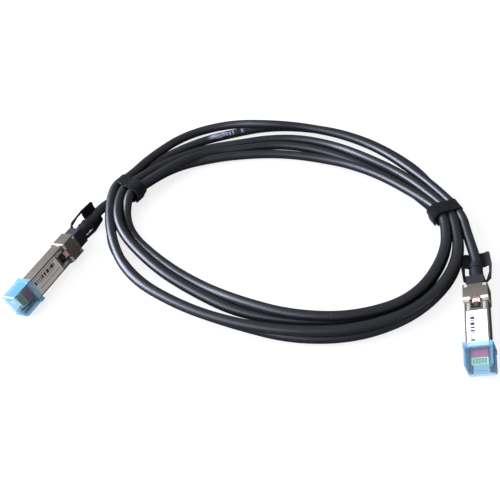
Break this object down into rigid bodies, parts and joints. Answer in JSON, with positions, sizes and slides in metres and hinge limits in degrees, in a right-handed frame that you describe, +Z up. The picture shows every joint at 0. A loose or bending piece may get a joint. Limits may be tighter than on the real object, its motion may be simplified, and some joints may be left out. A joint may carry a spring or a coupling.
{
  "type": "direct attach copper cable",
  "caption": "Coiled black twinaxial cable with a metal pluggable-module plug, pull tab and blue dust cap at each end, held by two hook-and-loop ties.",
  "frame": {"origin": "middle of the box round the plugs and ties, on the surface that the cable lies on", "axes": "+Z up; +Y away from the viewer across the coil; +X from plug a's side to plug b's side"},
  "size_m": [0.3028, 0.2309, 0.0198],
  "materials": {
    "cable_jacket": "satin extruded jacket",
    "black_moulding": "moulded",
    "cast_shell": "nickel-plated casting",
    "latch_steel": "stamped",
    "blue_cap": "see-through, moulded",
    "board_green": "solder mask",
    "gold_pads": "gold flash",
    "wire_sleeve": "extruded",
    "potting": "cast resin",
    "label_paper": "printed film",
    "hook_loop_fabric": "looped pile"
  },
  "bodies": {
    "root": {"shell_lower_a": "cast_shell", "shell_upper_a": "cast_shell", "pivot_pin_a": "latch_steel", "latch_leaf_a": "latch_steel", "board_a": "board_green", "edge_contacts_a": "gold_pads", "wire_pairs_a": "wire_sleeve", "solder_block_a": "potting", "ground_fingers_a": "latch_steel", "ferrule_a": "latch_steel", "label_a": "label_paper", "boot_a": "black_moulding", "shell_lower_b": "cast_shell", "shell_upper_b": "cast_shell", "pivot_pin_b": "latch_steel", "latch_leaf_b": "latch_steel", "board_b": "board_green", "edge_contacts_b": "gold_pads", "wire_pairs_b": "wire_sleeve", "solder_block_b": "potting", "ground_fingers_b": "latch_steel", "ferrule_b": "latch_steel", "label_b": "label_paper", "boot_b": "black_moulding", "cable_coil": "cable_jacket", "cable_tail_a": "cable_jacket", "cable_tail_b": "cable_jacket", "tie_left": "hook_loop_fabric", "tie_right": "hook_loop_fabric"},
    "cap_a": {"dust_cap_a": "blue_cap"},
    "tab_a": {"pull_tab_a": "black_moulding", "slider_a": "latch_steel"},
    "rocker_a": {"latch_rocker_a": "latch_steel"},
    "cap_b": {"dust_cap_b": "blue_cap"},
    "tab_b": {"pull_tab_b": "black_moulding", "slider_b": "latch_steel"},
    "rocker_b": {"latch_rocker_b": "latch_steel"}
  },
  "joints": [
    {"name": "cap_pull_a", "type": "slide", "parent": "root", "child": "cap_a", "axis": [-0.4352, -0.9003, 0], "range_m": [0, 0.03]},
    {"name": "tab_pull_a", "type": "slide", "parent": "root", "child": "tab_a", "axis": [0.4352, 0.9003, 0], "range_m": [0, 0.0025], "stiffness_N_per_m": 600, "springref_m": -0.0005},
    {"name": "rocker_tilt_a", "type": "hinge", "parent": "root", "child": "rocker_a", "pos_m": [-0.12137, 0.00691, 0.0111], "axis": [0.3518, -0.1701, -0.9205], "range_deg": [0, 10]},
    {"name": "cap_pull_b", "type": "slide", "parent": "root", "child": "cap_b", "axis": [-0.1959, -0.9806, 0], "range_m": [0, 0.03]},
    {"name": "tab_pull_b", "type": "slide", "parent": "root", "child": "tab_b", "axis": [0.1959, 0.9806, 0], "range_m": [0, 0.0025], "stiffness_N_per_m": 600, "springref_m": -0.0005},
    {"name": "rocker_tilt_b", "type": "hinge", "parent": "root", "child": "rocker_b", "pos_m": [0.13306, -0.02965, 0.01175], "axis": [0.8618, -0.1722, 0.4772], "range_deg": [0, 10]}
  ],
  "couplings": [
    {"joint": "rocker_tilt_a", "follows": "tab_pull_a", "rad_per_m": 69.743},
    {"joint": "rocker_tilt_b", "follows": "tab_pull_b", "rad_per_m": 69.743}
  ]
}
